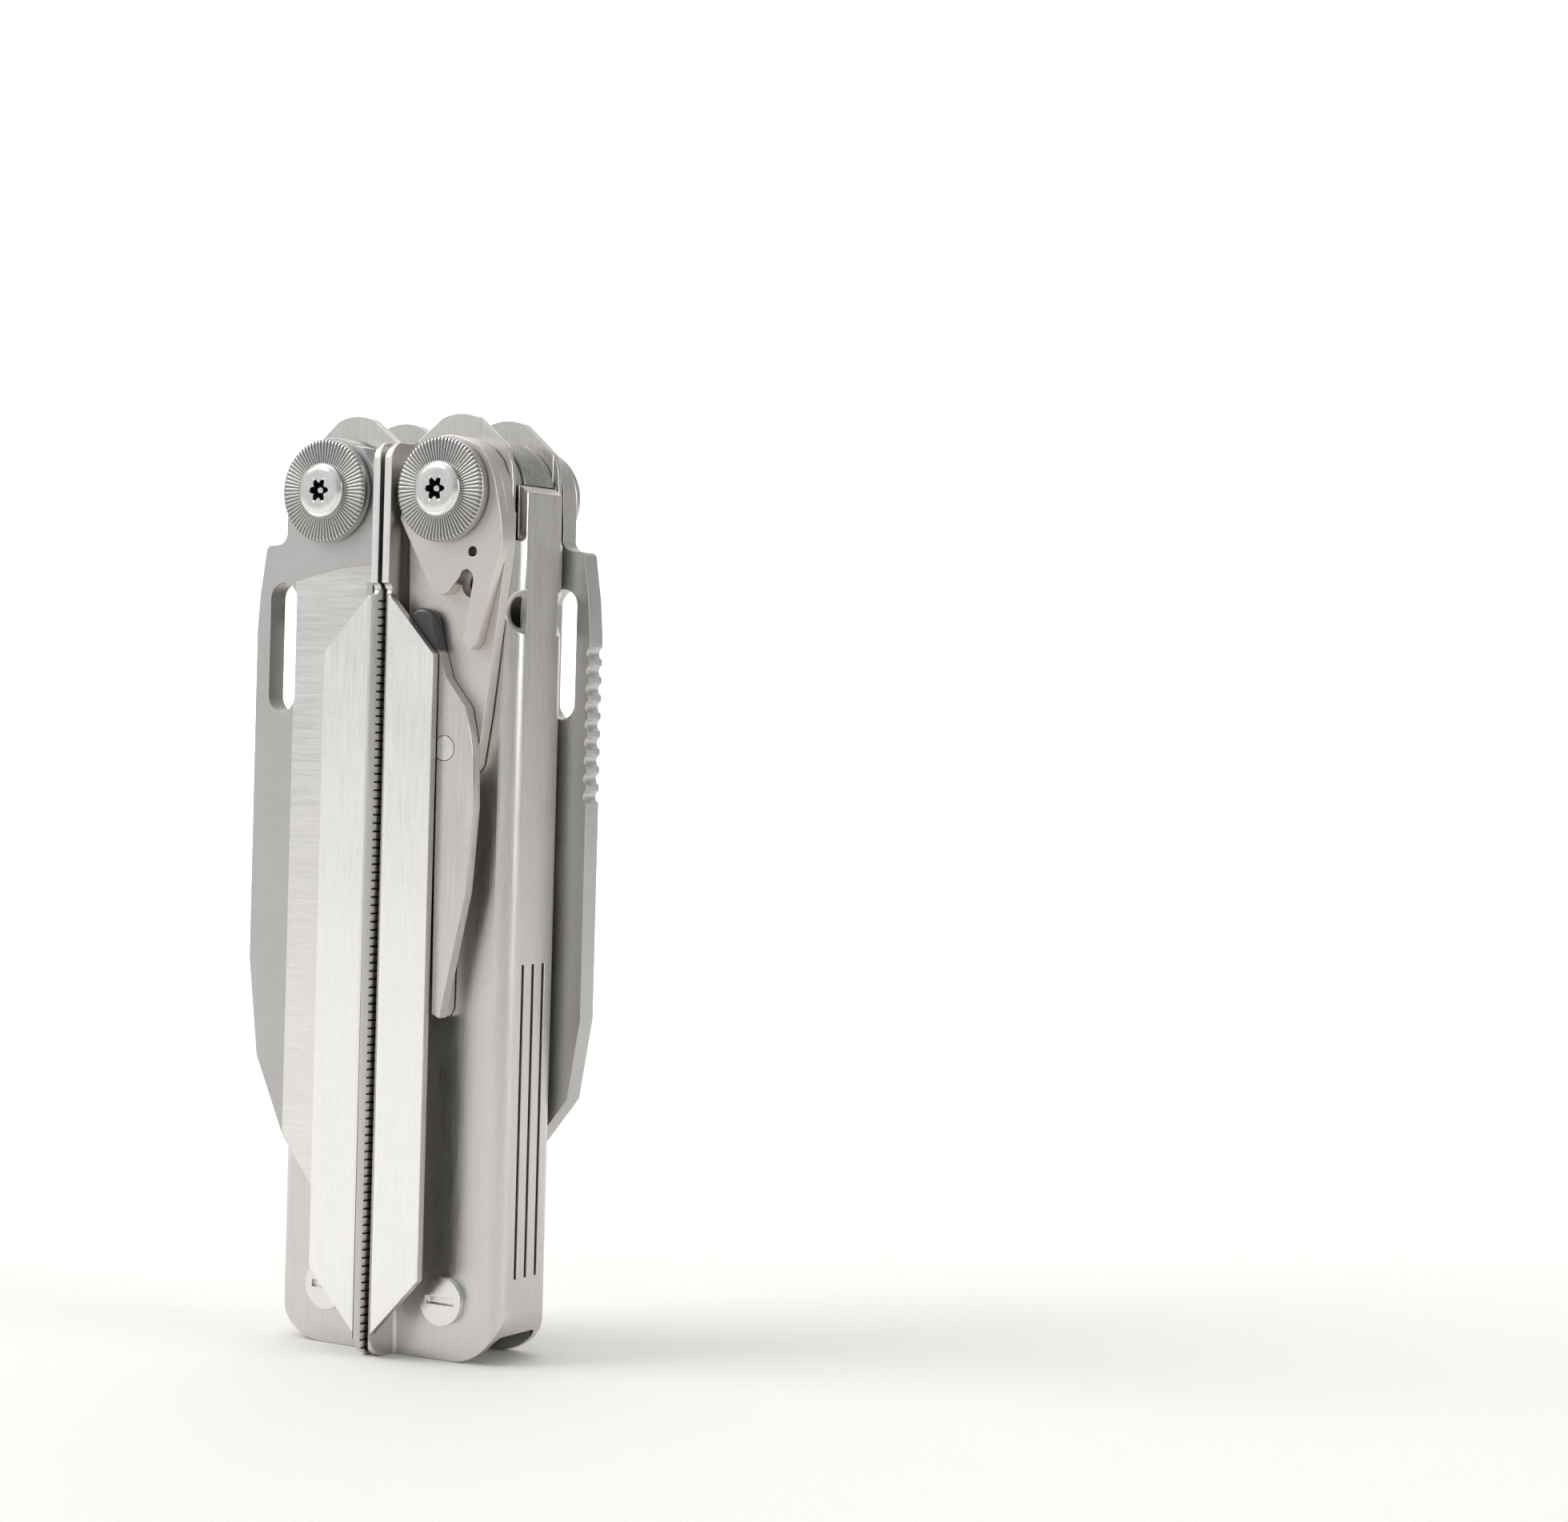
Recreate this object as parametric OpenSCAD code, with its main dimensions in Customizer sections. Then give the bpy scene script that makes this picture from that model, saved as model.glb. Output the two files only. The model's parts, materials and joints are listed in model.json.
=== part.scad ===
// Folding pliers multi tool, closed and standing on the ends of its two handles.
// X runs across the two handles, -Y is the front face, +Z is up.
// The origin is on the floor, midway between the handles and midway front to back.
// Everything that belongs to one handle is drawn in the right handle's own frame, with
// its big pivot at the origin and +X pointing outwards, and is then mirrored or turned.

/* [Overall] */
// Height of the closed tool
closed_length = 115; // [108:0.5:122]
// Distance from the middle plane to each handle's big pivot
pivot_x = 8.8; // [8.7:0.1:9.4]
// Gap left between the two closed handles
handle_gap = 0.6; // [0.6:0.1:1.2]

/* [Handle sheet] */
// Thickness of the bent steel sheet
sheet_t = 1.1; // [0.9:0.1:1.2]
// Half the width inside the channel
channel_half = 4.3; // [4.3:0.1:4.5]
// Big pivot axis to the outer face of the handle's web
web_out = 8.2; // [8:0.1:8.8]
// Depth of the turned-out flange, from the middle plane
flange_reach = 10.2; // [10.1:0.1:10.6]
// Height of the ears above the big pivot
ear_rise = 9.6; // [9:0.1:10]
// Height of the flange's top above the big pivot
flange_top = 5.9; // [5.4:0.1:6.1]
// Width of the turned-over lip, at its widest
lip_w = 8; // [6:0.2:8.6]

/* [Pliers] */
// Depth of the jaw pivot below the two big pivots
hub_drop = 24; // [23:0.5:26]
// Radius of the lapped discs at the jaw pivot
hub_r = 8; // [7.5:0.25:8.25]
// Length of the jaws below the jaw pivot
jaw_length = 38; // [34:1:42]

/* [Outside blades] */
// Thickness of the two knife blades
knife_t = 2.8; // [2.2:0.1:2.9]
// Length of the knife blades from pivot to tip
knife_length = 88; // [80:1:90]
// Distance from the pivot to the widest part of the knife spine
spine_out = 11.1; // [10.4:0.1:11.4]
// Width of the oval thumb hole
thumb_hole_w = 4; // [3:0.25:4.5]
// Length of the oval thumb hole
thumb_hole_l = 16; // [10:1:20]
// Width of the stock that each scissors plate is cut from
scissors_t = 1.7; // [1.4:0.05:1.7]

/* [Inside tools] */
// Height of the inside tools' pivot above the handle's end
tool_pivot_z = 7.4; // [7:0.1:8.5]
// Thickness of each inside tool
tool_t = 1.9; // [1.6:0.05:1.9]
// Radius of each inside tool's round tang
tool_tang_r = 5.6; // [5:0.1:5.8]

/* [Fasteners] */
// Radius of the big serrated washers
washer_r = 6.3; // [5.8:0.1:6.6]
// Thickness of the big serrated washers
washer_t = 1.5; // [1.2:0.1:1.7]
// Radius of the button screw heads
screw_head_r = 3.35; // [3.1:0.05:3.6]
// Height of the button screw heads
screw_head_h = 1; // [0.8:0.1:1.2]

/* [Hidden] */

$fn = 48;
steel = "#c9c8c4";
bright = "#dcdcd8";
dark_steel = "#7b7a77";
bronze = "#b8935a";
far = 200;

pivot_z = closed_length - ear_rise;
flange_in = pivot_x - handle_gap / 2;
wall_out = channel_half + sheet_t;
bend_in = 0.5;
bend_out = bend_in + sheet_t;
bend_x = sheet_t + bend_in - flange_in;
ear_x = -0.9;
wall_edge = 7;
notch_foot = -5.2;
fold_r = 2.2;
lip_slope = 1;
lip_start = -12.5;
end_r = 7;
tool_drop = tool_pivot_z - pivot_z;

layer_in = wall_out + 0.15;
layer_out = 8.95;
washer_in = layer_out + 0.1;
washer_out = washer_in + washer_t;
sleeve_r = 3;
pivot_bore = sleeve_r + 0.05;
shank_r = 1.9;
tang_r = 6.9;
tang_half = 2.4;
spacer_in = tang_half + 0.1;
spacer_out = channel_half - 0.1;
spacer_r = 6.6;
plier_half = 4;
lap_gap = 0.05;
lap_clear = 0.4;
knife_in = layer_out - knife_t;
edge_in = bend_x + 0.1;
tool_pitch = tool_t + 0.2;
tool_pin_r = 2;

// Where the two handles stand. The right handle's frame is moved out along +X; the left
// one is its mirror image.
module on_right() translate([pivot_x, 0, pivot_z]) children();
module on_left() mirror([1, 0, 0]) on_right() children();

// A flat shape drawn across X and Z, as thick as y0 to y1.
module slab(y0, y1) {
  translate([0, y1, 0]) rotate([90, 0, 0]) linear_extrude(y1 - y0) children();
}

// A rod along Y.
module rod(r, y0, y1) {
  translate([0, y0, 0]) rotate([-90, 0, 0]) cylinder(r = r, h = y1 - y0);
}

// Draws its children in front, and mirrored behind.
module both_faces() {
  children();
  mirror([0, 1, 0]) children();
}

// Points of an arc in whole steps, from angle a to angle b about the point c.
function arc(c, r, a, b, steps = 6) =
  [for (i = [0 : steps]) c + r * [cos(a + (b - a) * i / steps), sin(a + (b - a) * i / steps)]];

// ---------------------------------------------------------------- handle sheet

// Web and walls of the channel in plan, out to the web face at x_end.
module channel_plan(x_end, half, r) {
  translate([bend_x, -half]) square([x_end - r - bend_x, 2 * half]);
  translate([x_end - r - 0.01, r - half]) square([r + 0.01, 2 * (half - r)]);
  for (side = [-1, 1]) translate([x_end - r, side * (half - r)]) circle(r);
}

// A quarter of a bend in plan, its quarter chosen by the signs of sx and sy.
module bend_plan(x, y, sx, sy) {
  translate([x, y]) intersection() {
    difference() {
      circle(bend_out);
      circle(bend_in);
    }
    scale([sx, sy]) square(bend_out);
  }
}

// The sheet in plan where the flange stands straight out.
module flange_plan() {
  difference() {
    channel_plan(web_out, wall_out, fold_r);
    translate([-0.01, 0]) channel_plan(web_out - sheet_t, channel_half, fold_r - sheet_t);
  }
  for (side = [-1, 1]) {
    bend_plan(bend_x, side * (wall_out + bend_in), -1, -side);
    scale([1, side]) translate([-flange_in, wall_out + bend_in])
      square([sheet_t, flange_reach - wall_out - bend_in]);
  }
}

// The same sheet where the flange is turned over again into a lip.
module lip_plan() {
  lip_y = flange_reach - bend_out;
  difference() {
    flange_plan();
    for (side = [-1, 1]) scale([1, side]) translate([-flange_in - 1, lip_y]) square(4);
  }
  for (side = [-1, 1]) {
    bend_plan(bend_x, side * lip_y, -1, side);
    scale([1, side]) translate([bend_x, flange_reach - sheet_t])
      square([lip_w - bend_out, sheet_t]);
  }
}

// The handle seen from the front: a round-topped ear above the pivot, sloping to the
// flange's top on one side and to the wall's edge on the other, and a rounded far end.
module handle_front() {
  fall = 38;
  crown = 20;
  crown_r = 7;
  crown_at = [ear_x, ear_rise - crown_r];
  corner_r = 2;
  in_at = crown_at + (crown_r - corner_r) * [cos(90 + crown), sin(90 + crown)];
  out_at = crown_at + (crown_r - corner_r) * [cos(90 - crown), sin(90 - crown)];
  inner = in_at + corner_r * [cos(90 + fall), sin(90 + fall)];
  inner_x = max(0.2 - flange_in, inner[0] - (inner[1] - flange_top) / tan(fall));
  polygon(concat(
    [[-flange_in, -pivot_z], [-flange_in, flange_top], [inner_x, flange_top]],
    arc(in_at, corner_r, 90 + fall, 90 + crown, 4),
    arc(crown_at, crown_r, 90 + crown - 5, 90 - crown + 5, 6),
    arc(out_at, corner_r, 90 - crown, 90 - fall, 4),
    [[5.4, 6], [6.2, 5.2], [6.8, 3.4], [wall_edge, 1], [web_out, 0]],
    arc([web_out - end_r, end_r - pivot_z], end_r, 0, -90, 8)
  ));
}

// The handle seen from the side: the flange's top and bottom corners are rounded.
module handle_side() {
  top_r = 2.2;
  foot_r = 3;
  half = concat(
    arc([flange_reach - foot_r, foot_r - pivot_z], foot_r, -90, 0, 6),
    arc([flange_reach - top_r, flange_top - top_r], top_r, 0, 90, 6),
    [[wall_out + 0.5, flange_top], [wall_out + 0.5, far]]
  );
  polygon(concat(half, [for (i = [len(half) - 1 : -1 : 0]) [-half[i][0], half[i][1]]]));
}

// What is cut from the lip, so that it starts and ends in a slope.
module lip_slopes() {
  run = 24;
  lift = run / lip_slope;
  polygon([[-flange_in + sheet_t, lip_start], [-flange_in + sheet_t, lip_start + 3],
    [run - flange_in, lip_start + 3], [run - flange_in, lip_start - lift]]);
  foot = 3 - pivot_z;
  polygon([[-flange_in + sheet_t, foot], [-flange_in + sheet_t, -far],
    [run - flange_in, -far], [run - flange_in, foot + lift]]);
}

// One bent sheet: web, two walls with ears, flanges and lips.
module handle_sheet() {
  turn = lip_start + 0.5;
  scoop_r = 2.9;
  scoop_z = -14.4;
  slit_l = 38;
  slot_reach = wall_out + 0.2;
  difference() {
    intersection() {
      union() {
        translate([0, 0, turn]) linear_extrude(far) flange_plan();
        translate([0, 0, -pivot_z]) linear_extrude(pivot_z + turn) lip_plan();
      }
      slab(-far, far) handle_front();
      rotate([90, 0, 90]) translate([0, 0, -far]) linear_extrude(2 * far) handle_side();
    }
    both_faces() slab(-far, -flange_reach + bend_out + 0.05) lip_slopes();
    // concave notch between flange and lip
    both_faces() translate([-far / 2, -flange_reach, turn])
      rotate([0, 90, 0]) cylinder(r = 0.75, h = far / 2);
    // relief that lets the two flanges swing past each other
    slab(-far, far) polygon([[-flange_in - 1, flange_top - 1.9], [-flange_in, flange_top - 1.9],
      [-flange_in + 0.36, flange_top], [-flange_in - 1, far]]);
    // the folds are cut back at the top, which leaves the web's end free of the walls
    both_faces() {
      translate([wall_edge, -far, notch_foot]) cube([far, far - channel_half + 0.6, far]);
      translate([wall_edge - 0.8, -channel_half - 0.2, notch_foot]) cube([far, 0.8, far]);
      translate([wall_edge - 0.8, -channel_half - 0.1, notch_foot])
        rotate([0, 90, 0]) cylinder(r = 0.7, h = far);
    }
    // scoops for the thumb at the web's folds
    both_faces() translate([web_out + 1.2, 0, scoop_z]) rod(scoop_r, -far, -3.2);
    // bores for the two pivots
    rod(pivot_bore, -far, far);
    translate([0, 0, tool_drop]) rod(tool_pin_r + 0.05, -far, far);
    // slits that leave one spring finger in the web for each inside tool
    for (k = [-1 : 1]) translate([web_out - 3, k * tool_pitch - 0.25, tool_drop + 3])
      cube([6, 0.5, slit_l]);
    // slots that free the locking strip beside each outside blade
    for (x = [-5.9, -1.9]) translate([x, -slot_reach, -46]) cube([0.5, 2 * slot_reach, 33]);
    translate([-5.9, -slot_reach, -13.5]) cube([4.5, 2 * slot_reach, 0.5]);
  }
}

module left_handle() {
  color(steel) on_left() handle_sheet();
}

module right_handle() {
  color(steel) on_right() handle_sheet();
}

// ------------------------------------------------------------- big pivots

// Threaded sleeve that everything at one big pivot turns on.
module pivot_sleeve() {
  difference() {
    rod(sleeve_r, -washer_in, washer_in);
    both_faces() rod(shank_r + 0.02, -far, -1.5);
  }
}

// A button screw with a six-lobed socket and a pin left standing in it.
module button_screw() {
  lobe_r = 0.5;
  translate([0, -washer_out, 0]) rotate([90, 0, 0]) difference() {
    rotate_extrude() intersection() {
      translate([0, screw_head_h - 12]) circle(12, $fn = 192);
      square([screw_head_r, screw_head_h]);
    }
    difference() {
      translate([0, 0, screw_head_h - 0.65]) union() {
        cylinder(r = 1.15, h = 2);
        for (k = [0 : 5]) rotate(60 * k) translate([1.15, 0, 0]) cylinder(r = lobe_r, h = 2);
      }
      cylinder(r = 0.4, h = screw_head_h - 0.2);
    }
  }
  rod(shank_r, -washer_out, -2);
}

// A big flat washer with a bore for the screw.
module pivot_washer() {
  difference() {
    rod(washer_r, -washer_out, -washer_in);
    rod(shank_r + 0.05, -far, 0);
  }
}

// A round spacer beside the pliers' tang.
module tang_spacer() {
  difference() {
    rod(spacer_r, -spacer_out, -spacer_in);
    rod(pivot_bore, -far, 0);
  }
}

module left_pivot_sleeve() {
  color(steel) on_left() pivot_sleeve();
}

module left_pivot_screws() {
  color(bright) on_left() both_faces() button_screw();
}

module left_pivot_washers() {
  color(steel) on_left() both_faces() pivot_washer();
}

module left_tang_spacers() {
  color(steel) on_left() both_faces() tang_spacer();
}

module right_pivot_sleeve() {
  color(steel) on_right() pivot_sleeve();
}

module right_pivot_screws() {
  color(bright) on_right() both_faces() button_screw();
}

module right_pivot_washers() {
  color(steel) on_right() both_faces() pivot_washer();
}

module right_tang_spacers() {
  color(steel) on_right() both_faces() tang_spacer();
}

// ------------------------------------------------------------- inside tools

// Children are drawn about the inside tools' own pivot, in one of four places across.
module tool_place(k) {
  translate([0, (k - 1.5) * tool_pitch, tool_drop]) children();
}

// A flat inside tool: a round tang with its bore, and the outline it is given.
module flat_tool() {
  slab(-tool_t / 2, tool_t / 2) difference() {
    union() {
      circle(tool_tang_r);
      children();
    }
    circle(tool_pin_r + 0.05);
  }
}

// A screwdriver with a straight tip, tapered shank and a nail nick.
module screwdriver(tip_w, length) {
  difference() {
    flat_tool() polygon([[-1.2, 0], [5.4, 0], [5.4, 13], [1.6 + tip_w / 2, length - 9],
      [1.6 + tip_w / 2, length], [1.6 - tip_w / 2, length], [1.6 - tip_w / 2, length - 9],
      [-1.2, 15]]);
    both_faces() translate([0, -tool_t / 2, length]) rotate([-8, 0, 0])
      translate([-far / 2, -2, -9]) cube([far, 2, 20]);
    translate([4.3, -tool_t / 2, 16]) rotate([0, 15, 0]) cube([0.7, 0.9, 8], center = true);
  }
}

module tool_pin() {
  translate([0, 0, tool_drop]) difference() {
    rod(tool_pin_r, -wall_out, wall_out);
    both_faces() rod(1.22, -far, -1);
  }
}

// Low round screw that closes one end of the inside tools' pin.
module tool_screw() {
  translate([0, 0, tool_drop]) {
    difference() {
      rod(3.1, -wall_out - 0.9, -wall_out);
      translate([0, -wall_out - 0.9, 0]) cube([4, 1, 0.8], center = true);
    }
    rod(1.2, -wall_out, -1.5);
  }
}

// Thin washers between the inside tools.
module tool_shims() {
  for (k = [-2 : 2]) difference() {
    translate([0, 0, tool_drop]) rod(3.6, k * tool_pitch - 0.1, k * tool_pitch + 0.1);
    translate([0, 0, tool_drop]) rod(tool_pin_r + 0.05, -far, far);
  }
}

module left_tool_pin() {
  color(steel) on_left() tool_pin();
}

module left_tool_screws() {
  color(bright) on_left() both_faces() tool_screw();
}

module left_tool_shims() {
  color(bronze) on_left() tool_shims();
}

module right_tool_pin() {
  color(steel) on_right() tool_pin();
}

module right_tool_screws() {
  color(bright) on_right() both_faces() tool_screw();
}

module right_tool_shims() {
  color(bronze) on_right() tool_shims();
}

module large_screwdriver() {
  color(bright) on_left() tool_place(0) screwdriver(6.4, 40);
}

// Hooked can opener with a sharpened inner curve.
module can_opener() {
  color(bright) on_left() tool_place(1) flat_tool() difference() {
    polygon([[-1, 0], [5.4, 0], [5.4, 14], [5, 30], [2.6, 34], [-3.4, 30.5], [-3.6, 27.5], [-0.4, 26]]);
    translate([-2.6, 22.6]) circle(3.6);
  }
}

// Bottle opener with its claw and lifting notch.
module bottle_opener() {
  color(bright) on_left() tool_place(2) flat_tool() difference() {
    polygon([[-1.6, 0], [5.4, 0], [5.6, 26], [3.4, 35], [0, 35], [-4.2, 31], [-4.2, 29], [-1.6, 22]]);
    translate([-3.1, 26.3]) circle(2.6);
    translate([1.8, 17]) circle(1.2);
  }
}

// Pointed awl with an eye for thread.
module awl() {
  color(bright) on_left() tool_place(3) flat_tool() difference() {
    polygon([[-1, 0], [5.2, 0], [5.2, 14], [3.6, 24], [1.9, 38], [1.3, 38], [-1, 20]]);
    translate([1.5, 24]) circle(0.9);
  }
}

// Flat holder with a window for a separate driver bit.
module bit_driver() {
  color(bright) on_right() tool_place(0) difference() {
    flat_tool() polygon([[-1.2, 0], [5.2, 0], [5.2, 26], [4.4, 29], [-1, 29], [-1.6, 26]]);
    translate([1.7, 0, 23]) cube([4.2, far, 8.6], center = true);
  }
}

// Flat bit with a straight tip, held in the bit driver's window.
module driver_bit() {
  color(dark_steel) on_right() tool_place(0) slab(-tool_t / 2, tool_t / 2)
    polygon([[-0.3, 18.75], [3.7, 18.75], [3.7, 25.5], [2.5, 27.25], [0.9, 27.25], [-0.3, 25.5]]);
}

module medium_screwdriver() {
  color(bright) on_right() tool_place(1) screwdriver(4.6, 40);
}

module small_screwdriver() {
  color(bright) on_right() tool_place(2) screwdriver(2.4, 36);
}

// Notched hook that strips insulation from wire.
module wire_stripper() {
  color(bright) on_right() tool_place(3) flat_tool() difference() {
    polygon([[-1.2, 0], [5.4, 0], [5.4, 25], [3.4, 31], [-1.4, 31], [-2.6, 28], [-1.2, 22]]);
    translate([-1.6, 25]) circle(1.3);
    translate([-0.4, 17.5]) circle(0.7);
  }
}

// ------------------------------------------------------------- pliers

// Jaw outline with gripping teeth, a round grip and a wire-cutting notch.
module jaw_plan() {
  teeth = 12;
  pitch = 1.25;
  tip = -jaw_length;
  flat_end = tip + teeth * pitch;
  difference() {
    polygon(concat(
      [[0.1, -6], [7.4, -5], [6.9, -14], [5.3, -24], [3.4, tip + 4], [2.6, tip], [0.25, tip]],
      [for (i = [0 : teeth - 1]) each [[0.5, tip + (i + 0.5) * pitch], [0.1, tip + (i + 1) * pitch]]],
      [[0.1, flat_end + 0.5]]
    ));
    translate([-0.9, -17.2]) circle(3);
    translate([0.1, -11]) rotate(45) square(1.1, center = true);
  }
}

// The half whose lap lies in front: left tang, right jaw.
module pliers_half() {
  lap = hub_r + lap_clear;
  tip_half = 1.9;
  arm = [[-15.6, 21.6], [-13.4, 12], [-9.2, 5], [-7.6, 2.2], [0, 0], [-1, 8.6], [-1.9, 13], [-3, 20.6]];
  difference() {
    union() {
      // tang round the big pivot
      translate([-pivot_x, 0, hub_drop]) rod(tang_r, -tang_half, tang_half);
      // arm at full thickness between tang and lap
      difference() {
        slab(-plier_half, plier_half) polygon(arm);
        rod(lap, -far, far);
        translate([-pivot_x, 0, hub_drop]) rod(tang_r + 0.1, -far, -tang_half);
        translate([-pivot_x, 0, hub_drop]) rod(tang_r + 0.1, tang_half, far);
      }
      // arm, disc and jaw root at half thickness round the jaw pivot
      intersection() {
        slab(-plier_half, -lap_gap) union() {
          polygon(arm);
          jaw_plan();
          circle(hub_r);
        }
        rod(lap + 0.01, -far, far);
      }
      // jaw at full thickness, thinner towards its tip
      difference() {
        slab(-plier_half, plier_half) jaw_plan();
        rod(lap, -far, far);
      }
    }
    rod(sleeve_r + 0.05, -far, far);
    translate([-pivot_x, 0, hub_drop]) rod(pivot_bore, -far, far);
    both_faces() translate([-far / 2, -plier_half, -12]) rotate([atan((plier_half - tip_half)
      / (jaw_length - 12)), 0, 0]) translate([0, -20, -far]) cube([far, 20, far]);
  }
}

module pliers_half_front() {
  color(steel) translate([0, 0, pivot_z - hub_drop]) pliers_half();
}

module pliers_half_back() {
  color(steel) translate([0, 0, pivot_z - hub_drop]) rotate(180) pliers_half();
}

module jaw_pivot_pin() {
  color(bright) translate([0, 0, pivot_z - hub_drop]) rod(sleeve_r, -plier_half, plier_half);
}

// ------------------------------------------------------------- knives

// Outline of a knife: round tang with a shoulder, a ledge out to the spine, and a point.
module knife_plan(point) {
  difference() {
    polygon(concat(
      arc([0, 0], 6.9, 185, 142, 5),
      [[-4.75, 5.3], [-3.1, 5.75]],
      arc([0, 0], 6.6, 118, 6, 12),
      [[6.75, -3.6]],
      arc([8.2, -5], 1.5, 190, 262, 5),
      [[9.5, -6.6], [9.9, -7], [spine_out - 0.35, -12.6], [spine_out, -17]],
      point,
      [[edge_in, -13], [edge_in, -10.8], [-6.5, -10.4], [-6.7, -4]]
    ));
    circle(pivot_bore);
  }
}

// Oval thumb hole near the spine.
module thumb_hole() {
  r = thumb_hole_w / 2;
  top = -11.2;
  translate([spine_out - 4.1, top - r]) circle(r);
  translate([spine_out - 4.1, top - thumb_hole_l + r]) circle(r);
  translate([spine_out - 4.1 - r, top - thumb_hole_l + r]) square([2 * r, thumb_hole_l - 2 * r]);
}

// Where a blade is ground, seen from the front: all below a shallow arc, but for a small
// square heel beside the edge.
module ground_area() {
  plunge_r = 42;
  plunge_z = -8.8 - plunge_r;
  difference() {
    union() {
      intersection() {
        translate([edge_in - 1.7, plunge_z]) circle(plunge_r, $fn = 200);
        translate([-20, plunge_z]) square([40, plunge_r]);
      }
      translate([-20, -far]) square([40, far + plunge_z + 0.01]);
    }
    translate([edge_in - 1, -12.7]) square([2, 1.8]);
  }
}

// A blade ground flat from both faces towards its edge, with its heel left full.
module ground_blade(point) {
  mid = -(knife_in + layer_out) / 2;
  grind_w = 12;
  grind_a = atan((knife_t / 2 - 0.2) / grind_w);
  difference() {
    slab(-layer_out, -knife_in) difference() {
      knife_plan(point);
      thumb_hole();
    }
    for (side = [-1, 1]) intersection() {
      slab(-far, far) ground_area();
      translate([edge_in, mid, 0]) scale([1, side, 1]) translate([0, 0.2, 0])
        rotate([0, 0, grind_a]) translate([-5, 0, -far]) cube([far, 10, far]);
    }
  }
}

module knife_blade() {
  tip = -knife_length;
  color(bright) on_left() ground_blade([[spine_out, -58], [9.6, -70], [5, tip + 8], [-1.2, tip],
    [-3.4, tip + 4.5], [-5.4, tip + 12], [edge_in, tip + 24]]);
}

module blade_washer() {
  difference() {
    rod(6, -knife_in + 0.05, -layer_in + 0.1);
    rod(pivot_bore, -far, 0);
  }
}

module knife_washer() {
  color(bronze) on_left() blade_washer();
}

// Sheepsfoot blade with scalloped edge and thumb notches along its spine.
module serrated_blade() {
  tip = -knife_length + 3;
  scallops = 14;
  pitch = 3.4;
  notches = 9;
  color(bright) on_right() mirror([0, 1, 0]) difference() {
    ground_blade([[spine_out, -64], [9.4, -74], [3, tip + 3], [-3.6, tip], [edge_in, tip + 1]]);
    for (i = [0 : scallops - 1]) translate([edge_in - 0.9, 0, tip + 8 + i * pitch])
      rod(1.75, -far, 0);
    for (i = [0 : notches - 1]) translate([spine_out + 0.35, 0, -19 - i * 2.2]) rod(0.8, -far, 0);
  }
}

module serrated_washer() {
  color(bronze) on_right() mirror([0, 1, 0]) blade_washer();
}

// ------------------------------------------------------------- scissors

scissors_split = layer_out - scissors_t + 0.05;
scissors_pin_at = [0.5, -31];

// Front plate with the sprung arm that pushes the scissors open.
module scissors_spring_plate() {
  shoulder = [[3.1, 5.9], [4.7, 5.3], [6, 3.8], [6.95, 1.4]];
  color(steel) on_right() slab(-layer_out, -scissors_split) difference() {
    polygon(concat(
      arc([0, 0], 6.6, 195, 66, 12),
      shoulder,
      [[8, -3], [8.4, -6.5], [7.5, -8.9], [6.6, -12.3], [4.9, -18.3], [4, -19.2], [2.7, -18.1]],
      [[4.2, -10.9], [4, -10], [3.3, -9.5], [2.6, -9.7], [2.1, -10.6]],
      arc([-0.45, -10.9], 1.7, -25, -130, 6),
      [[-2.5, -11.1], [-6.95, -3.4]]
    ));
    circle(pivot_bore);
    translate([4, -7.4]) circle(0.62);
  }
}

// Rear plate: tang and fixed blade, with its cutting edge facing outwards.
module scissors_fixed_blade() {
  color(bright) on_right() slab(-scissors_split, -layer_in) difference() {
    polygon(concat(
      arc([0, 0], 6.6, 185, 66, 12),
      [[4.6, 5.1], [5.9, 3.7], [6.9, 1.4], [7.9, -3], [7.9, -6.6], [6.3, -18.5], [5.2, -27], [4.2, -33]],
      [[0.9, -37], [0.6, -62.5], [0, -63.5], [-1, -63], [-4.6, -48], [-5.6, -38], [-5.8, -28]],
      [[-6.4, -16], [-6.6, -5]]
    ));
    circle(pivot_bore);
    translate(scissors_pin_at) circle(1.5);
    translate([4, -7.4]) circle(0.62);
    // clearance behind the end of the spring plate's slot
    translate([3.1, -11.2]) circle(1.7);
  }
}

// Moving blade with the rounded lever end that the thumb presses.
module scissors_moving_blade() {
  lever_r = 2.4;
  color(dark_steel) on_right() slab(-layer_out, -scissors_split - 0.1) difference() {
    polygon(concat(
      arc([-3.4, -16.5], lever_r, 180, 0, 10),
      [[-0.4, -19.5], [0.6, -22.5], [3.6, -26], [4.8, -31], [5, -38], [4.2, -48], [0.8, -63.5]],
      [[-0.3, -63], [-0.6, -36], [-4.4, -29.5], [-5.8, -24]]
    ));
    translate(scissors_pin_at) circle(1.55);
  }
}

module scissors_pin() {
  color(bright) on_right() translate([scissors_pin_at[0], 0, scissors_pin_at[1]])
    rod(1.5, -layer_out, -layer_in);
}

// ------------------------------------------------------------- saw

saw_half = 0.65;
saw_y = 7.4;

// Holder that takes exchangeable saw blades and files.
module saw_holder() {
  color(steel) on_left() mirror([0, 1, 0]) difference() {
    slab(-layer_out, -knife_in) difference() {
      knife_plan([[spine_out, -26], [9, -33], [3.6, -36], [-4, -36], [edge_in + 0.2, -33]]);
      thumb_hole();
    }
    translate([-3.4, -saw_y - saw_half, -40]) cube([7.6, 2 * saw_half, 14]);
    translate([0.4, 0, -30.5]) rod(1.5, -far, 0);
  }
}

// Round clamp pin that holds the blade's shank.
module saw_clamp() {
  color(dark_steel) on_left() mirror([0, 1, 0]) translate([0.4, 0, -30.5])
    rod(1.5, -layer_out, -knife_in);
}

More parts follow.
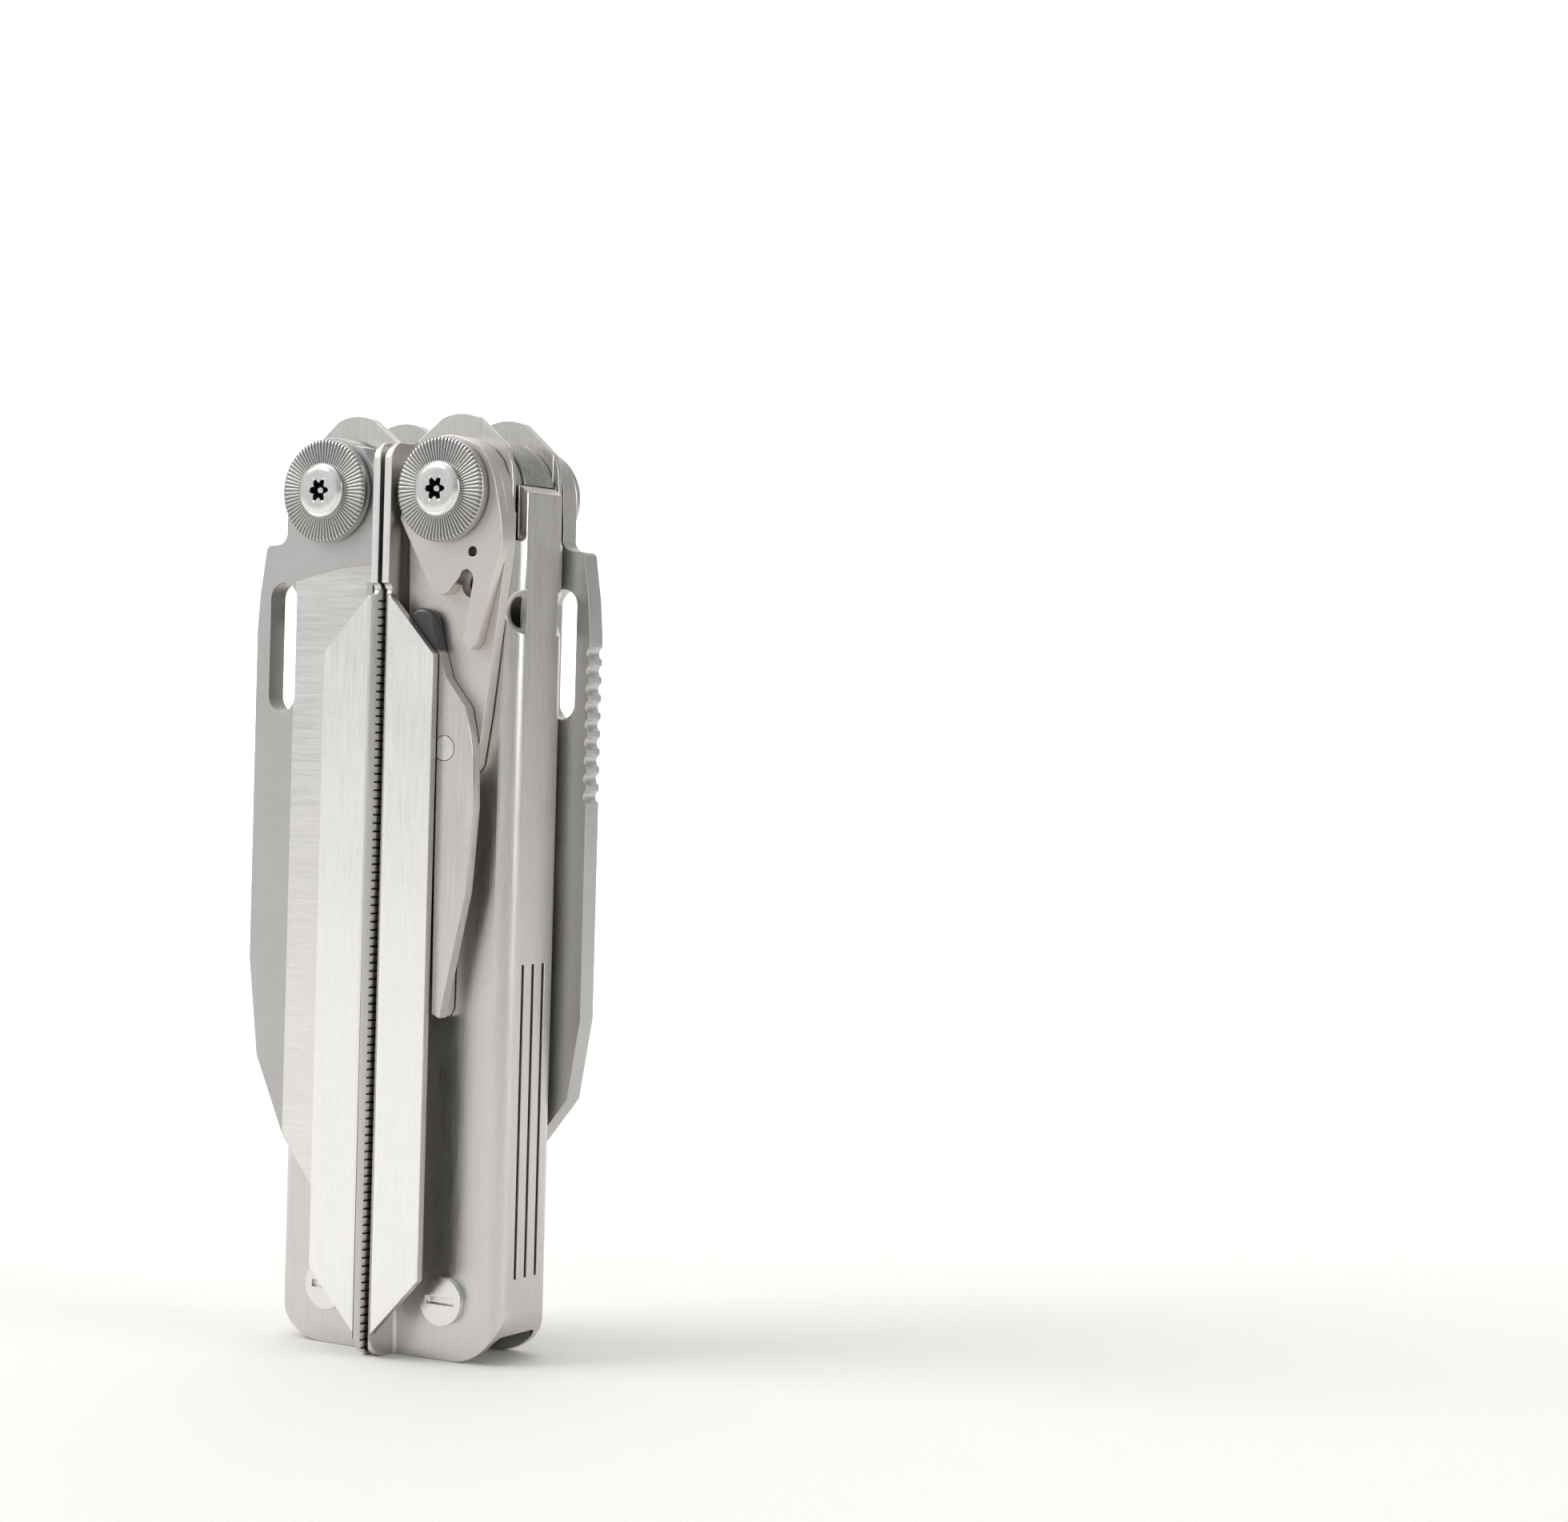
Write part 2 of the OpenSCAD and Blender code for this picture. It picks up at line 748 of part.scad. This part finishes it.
// Exchangeable saw blade with a plain shank and a row of teeth.
module saw_blade() {
  teeth = 20;
  pitch = 2.4;
  top = -37;
  color(bright) on_left() mirror([0, 1, 0]) slab(-saw_y - saw_half, -saw_y + saw_half) difference() {
    polygon(concat(
      [[-3.4, -26], [4.2, -26], [4.2, -36.5], [6.2, top - 1], [5.4, top - teeth * pitch + 3],
        [3, top - teeth * pitch], [-4.6, top - teeth * pitch]],
      [for (i = [0 : teeth - 1]) each [[-6.2, top - (teeth - i - 0.55) * pitch],
        [-4.6, top - (teeth - i - 1) * pitch]]],
      [[-3.4, -36.5]]
    ));
    translate([0.4, -30.5]) circle(1.5);
  }
}

module saw_washer() {
  color(bronze) on_left() mirror([0, 1, 0]) blade_washer();
}

left_handle();
left_pivot_sleeve();
left_pivot_screws();
left_pivot_washers();
left_tang_spacers();
left_tool_pin();
left_tool_screws();
left_tool_shims();
large_screwdriver();
can_opener();
bottle_opener();
awl();
right_handle();
right_pivot_sleeve();
right_pivot_screws();
right_pivot_washers();
right_tang_spacers();
right_tool_pin();
right_tool_screws();
right_tool_shims();
bit_driver();
medium_screwdriver();
small_screwdriver();
wire_stripper();
driver_bit();
pliers_half_front();
pliers_half_back();
jaw_pivot_pin();
knife_blade();
knife_washer();
serrated_blade();
serrated_washer();
scissors_spring_plate();
scissors_fixed_blade();
scissors_moving_blade();
scissors_pin();
saw_holder();
saw_clamp();
saw_blade();
saw_washer();
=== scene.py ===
import json
import math
import bmesh
import bpy
from mathutils import Matrix, Vector


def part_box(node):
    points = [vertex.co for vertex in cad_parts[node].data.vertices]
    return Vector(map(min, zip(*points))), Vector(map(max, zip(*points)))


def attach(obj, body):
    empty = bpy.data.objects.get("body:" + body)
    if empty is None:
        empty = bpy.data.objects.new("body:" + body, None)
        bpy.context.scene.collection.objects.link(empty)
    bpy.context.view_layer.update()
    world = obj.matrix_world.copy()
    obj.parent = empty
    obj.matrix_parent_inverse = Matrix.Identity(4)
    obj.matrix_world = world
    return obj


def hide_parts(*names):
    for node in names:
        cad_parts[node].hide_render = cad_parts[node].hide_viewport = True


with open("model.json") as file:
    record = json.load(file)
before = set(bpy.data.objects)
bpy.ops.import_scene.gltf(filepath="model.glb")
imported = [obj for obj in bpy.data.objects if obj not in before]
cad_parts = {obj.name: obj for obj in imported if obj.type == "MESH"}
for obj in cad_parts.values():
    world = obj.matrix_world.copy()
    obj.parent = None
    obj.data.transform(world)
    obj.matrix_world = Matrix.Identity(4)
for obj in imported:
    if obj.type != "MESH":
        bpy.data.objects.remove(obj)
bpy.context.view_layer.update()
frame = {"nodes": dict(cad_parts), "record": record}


# ---- Camera. A long lens at the height of the handles' upper third, to the right of the
# tool's front face, so that the front and the right handle's web both show. It leans by
# a degree and a half, as a hand-held camera does.
camera_data = bpy.data.cameras.new("camera")
camera_data.sensor_width = 36
camera_data.lens = 73
camera_data.clip_start = 0.01
camera = bpy.data.objects.new("camera", camera_data)
camera.location = (0.2381, -0.3173, 0.0793)
azimuth, pitch, lean = math.radians(30.46), math.radians(-0.8), math.radians(1.56)
camera.rotation_euler = (
    Matrix.Rotation(azimuth, 3, "Z")
    @ Matrix.Rotation(math.pi / 2 + pitch, 3, "X")
    @ Matrix.Rotation(lean, 3, "Z")
).to_euler()
bpy.context.scene.collection.objects.link(camera)
bpy.context.scene.camera = camera


# ---- Floor and studio light. The tool stands on a wide sheet of pale matt paper, which
# curves up behind it into a backdrop. A broad soft light comes from the upper left, with
# weaker ones from the right and overhead, and one more lights only the backdrop.
def linear(sheet_hex):
    """The linear colour, with alpha, of an sRGB hex value."""
    channels = [int(sheet_hex[i : i + 2], 16) / 255 for i in (1, 3, 5)]
    return [c / 12.92 if c <= 0.04045 else ((c + 0.055) / 1.055) ** 2.4 for c in channels] + [1]


def add(tree, kind, settings=None, links=None):
    """Adds one shader node, with its own settings and socket values, and its links."""
    made = tree.nodes.new("ShaderNode" + kind)
    for key, value in (settings or {}).items():
        if hasattr(made, str(key)):
            setattr(made, key, value)
        else:
            made.inputs[key].default_value = value
    for key, source in (links or {}).items():
        tree.links.new(source, made.inputs[key])
    return made


def new_material(name):
    """An empty node material and its Principled shader, wired to the output."""
    material = bpy.data.materials.new(name)
    material.use_nodes = True
    tree = material.node_tree
    tree.nodes.clear()
    shader = add(tree, "BsdfPrincipled")
    add(tree, "OutputMaterial", links={"Surface": shader.outputs["BSDF"]})
    return material, tree, shader


paper, _, paper_shader = new_material("matt white background paper")
paper_shader.inputs["Base Color"].default_value = linear("#eceae7")
paper_shader.inputs["Roughness"].default_value = 0.9
sheet_half = 4.0
front_y, cove_y = -4.0, 0.8
cove_r = 1.2
wall_height = 1.5
floor_bm = bmesh.new()
near_edge = floor_bm.edges.new(
    [floor_bm.verts.new((x, front_y, 0)) for x in (-sheet_half, sheet_half)])
flat = bmesh.ops.extrude_edge_only(floor_bm, edges=[near_edge])["geom"]
far_verts = [v for v in flat if isinstance(v, bmesh.types.BMVert)]
bmesh.ops.translate(floor_bm, verts=far_verts, vec=(0, cove_y - front_y, 0))
far_edge = [e for e in flat if isinstance(e, bmesh.types.BMEdge)
            and all(v in far_verts for v in e.verts)]
cove = bmesh.ops.spin(floor_bm, geom=far_edge + far_verts, cent=(0, cove_y, cove_r),
                      axis=(1, 0, 0), angle=math.pi / 2, steps=24)["geom_last"]
wall = bmesh.ops.extrude_edge_only(
    floor_bm, edges=[e for e in cove if isinstance(e, bmesh.types.BMEdge)])["geom"]
bmesh.ops.translate(floor_bm, verts=[v for v in wall if isinstance(v, bmesh.types.BMVert)],
                    vec=(0, 0, wall_height))
bmesh.ops.rotate(floor_bm, verts=floor_bm.verts, cent=(0, 0, 0),
                 matrix=Matrix.Rotation(azimuth, 3, "Z"))
bmesh.ops.recalc_face_normals(floor_bm, faces=floor_bm.faces)
for face in floor_bm.faces:
    face.smooth = True
floor_mesh = bpy.data.meshes.new("paper_sweep")
floor_bm.to_mesh(floor_mesh)
floor_bm.free()
floor = bpy.data.objects.new("paper_sweep", floor_mesh)
floor.data.materials.append(paper)
bpy.context.scene.collection.objects.link(floor)

# The room is brightest overhead and at the front left, and dimmer low down and at the
# right, which is what gives plain steel its light and dark sides.
world = bpy.data.worlds.new("lit room")
world.use_nodes = True
room = world.node_tree
room_way = add(room, "TexCoord").outputs["Generated"]
room_turn = add(room, "VectorMath", {"operation": "DOT_PRODUCT", 1: (-0.62, -0.35, 0.7)},
                {0: room_way})
room_light = add(room, "MapRange", {"From Min": -0.7, "From Max": 0.9, "To Min": 0.15,
                 "To Max": 0.85}, {"Value": room_turn.outputs["Value"]})
room.links.new(room_light.outputs["Result"], room.nodes["Background"].inputs["Strength"])
room.nodes["Background"].inputs["Color"].default_value = linear("#f3f4f5")
bpy.context.scene.world = world
bpy.context.scene.view_settings.view_transform = "Standard"


def soft_light(name, place, size, power, faces=(0, 0, 0.06)):
    """A square area light that faces the middle of the tool, or another point."""
    data = bpy.data.lights.new(name, "AREA")
    data.size = size
    data.energy = power
    light = bpy.data.objects.new(name, data)
    light.location = place
    aim = Vector(faces) - light.location
    light.rotation_euler = aim.to_track_quat("-Z", "Y").to_euler()
    bpy.context.scene.collection.objects.link(light)


soft_light("key light", (-0.75, -0.6, 0.95), 0.7, 8)
soft_light("side light", (0.9, 0.15, 0.35), 0.5, 2.6)
soft_light("overhead light", (-0.2, 0.2, 1.4), 1.0, 4)
soft_light("backdrop light", (-0.4, 0.5, 1.3), 1.2, 24, (-1.1, 1.8, 0.6))


# ---- Handles. Each is one blank of 1.1 mm stainless sheet, pressed to a channel with its
# sides turned out to a flange and a lip, then brushed lengthwise and tumbled, which
# leaves its edges slightly round and bright. Its gap faces carry a millimetre scale.
body_of_node = {node: body for body, nodes in frame["record"]["behaviour"]["bodies"].items()
                for node in nodes}


dome_mm = 0.62
flat_face_pull = 80


def finished(node, materials, edge_mm=0.12, sharp=32, second=None, dome=None):
    """The node's own shape with its outer edges over sharp degrees rounded by edge_mm.
    Faces for which second is true get the second material. Edges for which dome is true
    are rounded by dome_mm instead."""
    shape = bmesh.new()
    shape.from_mesh(frame["nodes"][node].data)
    bmesh.ops.remove_doubles(shape, verts=shape.verts, dist=1e-6)
    bmesh.ops.dissolve_limit(shape, angle_limit=math.radians(1), verts=shape.verts,
                             edges=shape.edges, use_dissolve_boundaries=False,
                             delimit={"NORMAL"})
    for face in shape.faces:
        face.smooth = True
        face.material_index = 1 if second and second(face) else 0
    outer = [e for e in shape.edges if len(e.link_faces) == 2 and e.is_convex
             and e.calc_face_angle() > math.radians(sharp)]
    if dome:
        round_edges = [e for e in outer if dome(e)]
        outer = [e for e in outer if not dome(e)]
        bmesh.ops.bevel(shape, geom=round_edges, offset=dome_mm / 1000, offset_type="OFFSET",
                        segments=5, profile=0.5, affect="EDGES", material=-1,
                        clamp_overlap=False)
        outer = [e for e in outer if e.is_valid]
    bmesh.ops.bevel(shape, geom=outer, offset=edge_mm / 1000, offset_type="OFFSET", segments=2,
                    profile=0.5, affect="EDGES", material=-1, clamp_overlap=False)
    mesh = bpy.data.meshes.new(node + "_finished")
    shape.to_mesh(mesh)
    shape.free()
    for stale in ("custom_normal", "sharp_face"):
        if stale in mesh.attributes:
            mesh.attributes.remove(mesh.attributes[stale])
    mesh.set_sharp_from_angle(angle=math.radians(sharp))
    for material in materials:
        mesh.materials.append(material)
    piece = bpy.data.objects.new(node + "_finished", mesh)
    bpy.context.scene.collection.objects.link(piece)
    even = piece.modifiers.new("flat faces stay flat", "WEIGHTED_NORMAL")
    even.keep_sharp = True
    even.weight = flat_face_pull
    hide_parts(node)
    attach(piece, body_of_node[node])
    return piece


def steel_surface(name, light, dark, along, lines_mm, roughness, bump_mm):
    """Steel with brush lines along the named axes of the tool, lines_mm apart, or grains of
    that size where along is empty, and an uneven sheen. Returns what a finish builds on."""
    material, tree, shader = new_material(name)
    place = add(tree, "TexCoord").outputs["Object"]
    stretch = [1000 / lines_mm] * 3
    for axis in along:
        stretch["XYZ".index(axis)] /= 40
    lines = add(tree, "Mapping", {"Scale": stretch}, {"Vector": place})
    grain = add(tree, "TexNoise", {"Scale": 1.0, "Detail": 3.0, "Roughness": 0.6},
                {"Vector": lines.outputs["Vector"]})
    clouds = add(tree, "TexNoise", {"Scale": 140.0, "Detail": 3.0}, {"Vector": place})
    mixed = add(tree, "Math", {"operation": "MULTIPLY_ADD", 1: 0.35},
                {0: clouds.outputs["Fac"], 2: grain.outputs["Fac"]})
    colours = add(tree, "ValToRGB", {}, {"Fac": mixed.outputs["Value"]})
    colours.color_ramp.elements[0].position = 0.42
    colours.color_ramp.elements[0].color = linear(dark)
    colours.color_ramp.elements[1].position = 0.92
    colours.color_ramp.elements[1].color = linear(light)
    tree.links.new(colours.outputs["Color"], shader.inputs["Base Color"])
    rough = add(tree, "MapRange", {"From Min": 0.42, "From Max": 0.92,
                "To Min": roughness - 0.07, "To Max": roughness + 0.07},
                {"Value": mixed.outputs["Value"]})
    tree.links.new(rough.outputs["Result"], shader.inputs["Roughness"])
    raised = add(tree, "Bump", {"Strength": 1.0, "Distance": bump_mm / 1000},
                 {"Height": grain.outputs["Fac"]})
    tree.links.new(raised.outputs["Normal"], shader.inputs["Normal"])
    shader.inputs["Metallic"].default_value = 1.0
    return material, tree, shader, place, colours


# Brushed stainless sheet: long fine lines that drag the light out along the handle. The
# lips stand proud, are a little smoother, and are painted brighter as a painted highlight.
sheet_steel, sheet_tree, sheet_shader, sheet_place, sheet_colours = steel_surface(
    "brushed stainless sheet", "#dad8d5", "#cccac7", "Z", 0.16, 0.32, 0.003)
lip_painted_highlight_steel = steel_surface("lip steel with painted highlight", "#f8f7f5", "#ecebe8", "Z", 0.2, 0.29, 0.002)[0]

# The scale is etched dark into the two faces that meet in the gap: a line every
# millimetre from the flange's front edge inwards, and a longer one every five.
apart = add(sheet_tree, "SeparateXYZ", {}, {"Vector": sheet_place})
gap_face_x = 0.00062
scale_top = 0.0925
line_half = 0.00011
in_gap = add(sheet_tree, "Math", {"operation": "COMPARE", 1: 0.0, 2: gap_face_x},
             {0: apart.outputs["X"]})
depth = add(sheet_tree, "Math", {"operation": "ABSOLUTE"}, {0: apart.outputs["Y"]})
below = add(sheet_tree, "Math", {"operation": "LESS_THAN", 1: scale_top},
            {0: apart.outputs["Z"]})
scale_marks = None
for pitch, inner in ((0.001, 0.0084), (0.005, 0.0074)):
    ladder = add(sheet_tree, "Math", {"operation": "PINGPONG", 1: pitch / 2},
                 {0: apart.outputs["Z"]})
    rung = add(sheet_tree, "Math", {"operation": "LESS_THAN", 1: line_half},
               {0: ladder.outputs["Value"]})
    reach = add(sheet_tree, "Math", {"operation": "GREATER_THAN", 1: inner},
                {0: depth.outputs["Value"]})
    mark = add(sheet_tree, "Math", {"operation": "MULTIPLY"},
               {0: rung.outputs["Value"], 1: reach.outputs["Value"]})
    if scale_marks is None:
        scale_marks = mark
    else:
        scale_marks = add(sheet_tree, "Math", {"operation": "MAXIMUM"},
                          {0: scale_marks.outputs["Value"], 1: mark.outputs["Value"]})
for limit in (in_gap, below):
    scale_marks = add(sheet_tree, "Math", {"operation": "MULTIPLY"},
                      {0: scale_marks.outputs["Value"], 1: limit.outputs["Value"]})
etched = add(sheet_tree, "Mix", {"data_type": "RGBA", 7: linear("#3a3938")},
             {0: scale_marks.outputs["Value"], 6: sheet_colours.outputs["Color"]})
sheet_tree.links.new(etched.outputs[2], sheet_shader.inputs["Base Color"])

# Faces further out than lip_depth are the lips, which get the brighter steel, a painted
# highlight.
lip_depth = 0.0101
for handle in ("left_handle", "right_handle"):
    finished(handle, [sheet_steel, lip_painted_highlight_steel], 0.15,
             second=lambda face: abs(face.calc_center_median().y) > lip_depth)


# ---- Big pivots. A steel sleeve through each handle and its blades, with a round spacer
# on each side of the pliers' tang. Turned steel bar, an even grey with a fine grain.
turned_steel = steel_surface("turned steel bar", "#cfcdca", "#b8b6b3", "", 0.3, 0.3, 0.002)[0]
for side in ("left_", "right_"):
    finished(side + "pivot_sleeve", [turned_steel], 0.1)
    finished(side + "tang_spacers", [turned_steel], 0.1)

# ---- Pivot washers. A thick disc of stamped steel under each screw head, with 72 fine
# grooves rolled into its face from the head out to the rim, which nick the rim's edge.
# The groove flanks get a darker steel as painted shade, so the rays read darker than
# the face between them.
washer_in, washer_out = 0.00905, 0.01055
washer_r = 0.0063
groove_count = 72
groove_depth = 0.00011
groove_start = 0.0033
washer_steel = steel_surface("tumbled washer steel", "#cbcac8", "#b2b1af", "", 0.25, 0.34,
                             0.002)[0]
# The darker groove steel is painted shade for the grooves' recesses.
groove_painted_shade_steel = steel_surface("groove steel with painted shade", "#8f8e8c", "#72716f", "", 0.25, 0.45,
                             0.002)[0]


def turned(name, profile, steps):
    """A full turn about Y of a profile of (radius, distance out) points, in metres."""
    shape = bmesh.new()
    chain = [shape.verts.new((radius, -out, 0)) for radius, out in profile]
    edges = [shape.edges.new(pair) for pair in zip(chain, chain[1:])]
    bmesh.ops.spin(shape, geom=chain + edges, cent=(0, 0, 0), axis=(0, 1, 0),
                   angle=2 * math.pi, steps=steps, use_merge=True)
    bmesh.ops.remove_doubles(shape, verts=shape.verts, dist=1e-7)
    return shape


def place_fasteners(shape, name, node, materials, sharp):
    """Puts a turned shape on a big pivot's axis in front and, mirrored, behind."""
    middle = sum((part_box(node)[end][0] for end in (0, 1))) / 2
    height = sum((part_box(node)[end][2] for end in (0, 1))) / 2
    back = bmesh.ops.duplicate(shape, geom=shape.verts[:] + shape.edges[:] + shape.faces[:])
    bmesh.ops.scale(shape, verts=[v for v in back["geom"] if isinstance(v, bmesh.types.BMVert)],
                    vec=(1, -1, 1))
    bmesh.ops.translate(shape, verts=shape.verts, vec=(middle, 0, height))
    bmesh.ops.recalc_face_normals(shape, faces=shape.faces)
    for face in shape.faces:
        face.smooth = True
    mesh = bpy.data.meshes.new(name)
    shape.to_mesh(mesh)
    shape.free()
    mesh.set_sharp_from_angle(angle=math.radians(sharp))
    for material in materials:
        mesh.materials.append(material)
    piece = bpy.data.objects.new(name, mesh)
    bpy.context.scene.collection.objects.link(piece)
    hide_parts(node)
    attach(piece, body_of_node[node])


for side in ("left_", "right_"):
    disc = turned("washer", [
        (0.00195, washer_in), (0.00195, washer_out - 0.00015), (0.0021, washer_out),
        (0.0031, washer_out), (0.00345, washer_out), (0.0058, washer_out),
        (0.00612, washer_out - 0.00006), (0.00626, washer_out - 0.0002),
        (washer_r, washer_out - 0.00035), (washer_r, washer_in + 0.0002),
        (washer_r - 0.0002, washer_in), (0.00195, washer_in)], 4 * groove_count)
    rolled = set()
    for vert in disc.verts:
        radius = math.hypot(vert.co.x, vert.co.z)
        step = round(math.atan2(vert.co.z, vert.co.x) / (2 * math.pi) * 4 * groove_count)
        on_face = -vert.co.y > washer_out - 2.2 * groove_depth
        if step % 4 == 0 and radius > groove_start and on_face:
            vert.co.y += groove_depth
            rolled.add(vert)
    # Flank faces between a rolled and an unrolled ring get the darker steel, a painted shade.
    for face in disc.faces:
        face.material_index = 1 if sum(v in rolled for v in face.verts) == 2 else 0
    place_fasteners(disc, side + "grooved_washers", side + "pivot_washers",
                    [washer_steel, groove_painted_shade_steel], 55)

# ---- Pivot screws. Polished low-head screws, almost flat on top, with a ring turned at
# the rim and a six-lobed socket that has a tamper pin standing in its middle. The socket
# is rougher and painted dark as painted shade for its depth, so the pin stands out bright.
polished_steel = steel_surface("polished screw steel", "#eae9e7", "#e2e1de", "", 0.9, 0.24,
                               0.0003)[0]
# The socket steel is dark as a painted shade for the recess, not as the screw's own colour.
socket_painted_shade_steel = steel_surface("socket wall with painted shade", "#5c5b59", "#3f3e3d", "", 0.3, 0.4,
                             0.003)[0]
socket_floor = washer_out - 0.0008
socket_top = washer_out + 0.00092
head_top = washer_out + 0.00094
pin_r = 0.00043
lobe_swing = 0.24
for side in ("left_", "right_"):
    head = turned("screw", [
        (0.0, washer_out + 0.0006), (0.00032, washer_out + 0.0006),
        (0.00042, washer_out + 0.0005), (pin_r, socket_floor), (0.00112, socket_floor),
        (0.00115, socket_top - 0.0001), (0.00125, socket_top), (0.0018, head_top),
        (0.0025, head_top - 0.00004), (0.0029, head_top - 0.00013),
        (0.00296, head_top - 0.0002), (0.00302, head_top - 0.00018),
        (0.00325, head_top - 0.00034), (0.00335, head_top - 0.00055), (0.00335, washer_out),
        (0.0019, washer_out), (0.0019, 0.0021), (0.0, 0.0021)], 96)
    for vert in head.verts:
        radius = math.hypot(vert.co.x, vert.co.z)
        if 0.00105 < radius < 0.0013 and -vert.co.y > socket_floor - 1e-6:
            turn = math.atan2(vert.co.z, vert.co.x)
            lobed = 1 + lobe_swing * math.cos(6 * turn)
            vert.co.x *= lobed
            vert.co.z *= lobed
    # Faces on the socket's wall and floor get the dark steel, a painted shade.
    for face in head.faces:
        middle = face.calc_center_median()
        deep = socket_floor - 1e-6 < -middle.y < socket_top - 0.00006
        in_socket = pin_r < math.hypot(middle.x, middle.z) < 0.0015
        face.material_index = 1 if deep and in_socket else 0
    place_fasteners(head, side + "socket_screws", side + "pivot_screws",
                    [polished_steel, socket_painted_shade_steel], 38)


# ---- Pliers. Two forged halves, lapped at the jaw pivot, ground flat on their faces and
# left with a slightly darker, uneven satin skin. The jaw pin is turned bar.
forged_steel = steel_surface("satin forged steel", "#b9b7b3", "#94928f", "", 0.35, 0.38,
                             0.008)[0]
finished("pliers_half_front", [forged_steel], 0.2)
finished("pliers_half_back", [forged_steel], 0.2)
finished("jaw_pivot_pin", [turned_steel], 0.1)


# ---- Knives and saw holder. Blade blanks are glass-bead blasted to an even grey, then
# ground towards the edge, and the wheel leaves fine bright lines across the bevel.
blasted_steel = steel_surface("bead-blasted blade steel", "#c6c5c4", "#b7b6b4", "", 0.16, 0.4,
                              0.004)[0]
ground_steel = steel_surface("ground blade bevel", "#efedea", "#dddbd8", "XY", 0.22, 0.28,
                             0.0016)[0]


def on_bevel(face):
    """True for the wide faces that the grinding wheel has tilted off the flat."""
    return 0.03 < abs(face.normal.x) < 0.5 and abs(face.normal.y) > 0.85


finished("knife_blade", [blasted_steel, ground_steel], 0.09, second=on_bevel)
finished("serrated_blade", [blasted_steel, ground_steel], 0.09, second=on_bevel)
finished("saw_holder", [blasted_steel], 0.12)
finished("saw_blade", [ground_steel], 0.04)


# ---- Blade washers and inside shims. Thin phosphor bronze, rolled and stamped, which
# shows as a warm line between the grey sheets.
bronze = steel_surface("rolled phosphor bronze", "#c79a5f", "#9c7440", "", 0.3, 0.34, 0.004)[0]
for washer in ("knife_washer", "serrated_washer", "saw_washer", "left_tool_shims",
               "right_tool_shims"):
    finished(washer, [bronze], 0.03)


# ---- Scissors. Two stamped plates on the right pivot with a warm, evenly blasted face,
# and a moving blade whose lever end is dipped in dark, lumpy, hard enamel.
plate_steel = steel_surface("blasted scissors plate", "#dad5d1", "#ccc6c2", "", 0.16, 0.38,
                            0.003)[0]
finished("scissors_spring_plate", [plate_steel], 0.14)
finished("scissors_fixed_blade", [plate_steel], 0.1)
finished("scissors_pin", [polished_steel], 0.1)
dipped_steel, dipped_tree, dipped_shader, dipped_place, dipped_colours = steel_surface(
    "scissors blade with enamelled lever", "#dbd7d4", "#cbc7c4", "Z", 0.2, 0.3, 0.003)
dipped_height = add(dipped_tree, "SeparateXYZ", {}, {"Vector": dipped_place})
dip_line = 0.0858
dipped_part = add(dipped_tree, "MapRange", {"From Min": dip_line, "From Max": dip_line + 0.0004},
                  {"Value": dipped_height.outputs["Z"]})
dipped_mix = add(dipped_tree, "Mix", {"data_type": "RGBA", 7: linear("#4a4b4d")},
                 {0: dipped_part.outputs["Result"], 6: dipped_colours.outputs["Color"]})
dipped_tree.links.new(dipped_mix.outputs[2], dipped_shader.inputs["Base Color"])
dipped_metal = add(dipped_tree, "MapRange", {"To Min": 1.0, "To Max": 0.35},
                   {"Value": dipped_part.outputs["Result"]})
dipped_tree.links.new(dipped_metal.outputs["Result"], dipped_shader.inputs["Metallic"])
lumps = add(dipped_tree, "TexNoise", {"Scale": 700.0, "Detail": 2.0}, {"Vector": dipped_place})
lump_height = add(dipped_tree, "Math", {"operation": "MULTIPLY"},
                  {0: lumps.outputs["Fac"], 1: dipped_part.outputs["Result"]})
lump_bump = add(dipped_tree, "Bump", {"Strength": 0.8, "Distance": 0.00012},
                {"Height": lump_height.outputs["Value"]})
dipped_tree.links.new(lump_bump.outputs["Normal"], dipped_shader.inputs["Normal"])
finished("scissors_moving_blade", [dipped_steel], 0.1,
         dome=lambda edge: all(v.co.z > dip_line for v in edge.verts))


# ---- Inside tools. Stamped from stainless strip and ground along their length on both
# faces. The driver bit and the saw's clamp are hardened and oiled black, a soft dark sheen.
tool_steel = steel_surface("ground tool steel", "#d8d6d3", "#c6c4c1", "Z", 0.2, 0.28, 0.003)[0]
black_oxide = steel_surface("black oxide steel", "#5b5a58", "#3b3a39", "", 0.3, 0.36, 0.004)[0]
for tool in ("large_screwdriver", "can_opener", "bottle_opener", "awl", "bit_driver",
             "medium_screwdriver", "small_screwdriver", "wire_stripper"):
    finished(tool, [tool_steel], 0.07)
finished("driver_bit", [black_oxide], 0.07)
finished("saw_clamp", [black_oxide], 0.1)
for side in ("left_", "right_"):
    finished(side + "tool_pin", [turned_steel], 0.1)
    finished(side + "tool_screws", [polished_steel], 0.12)
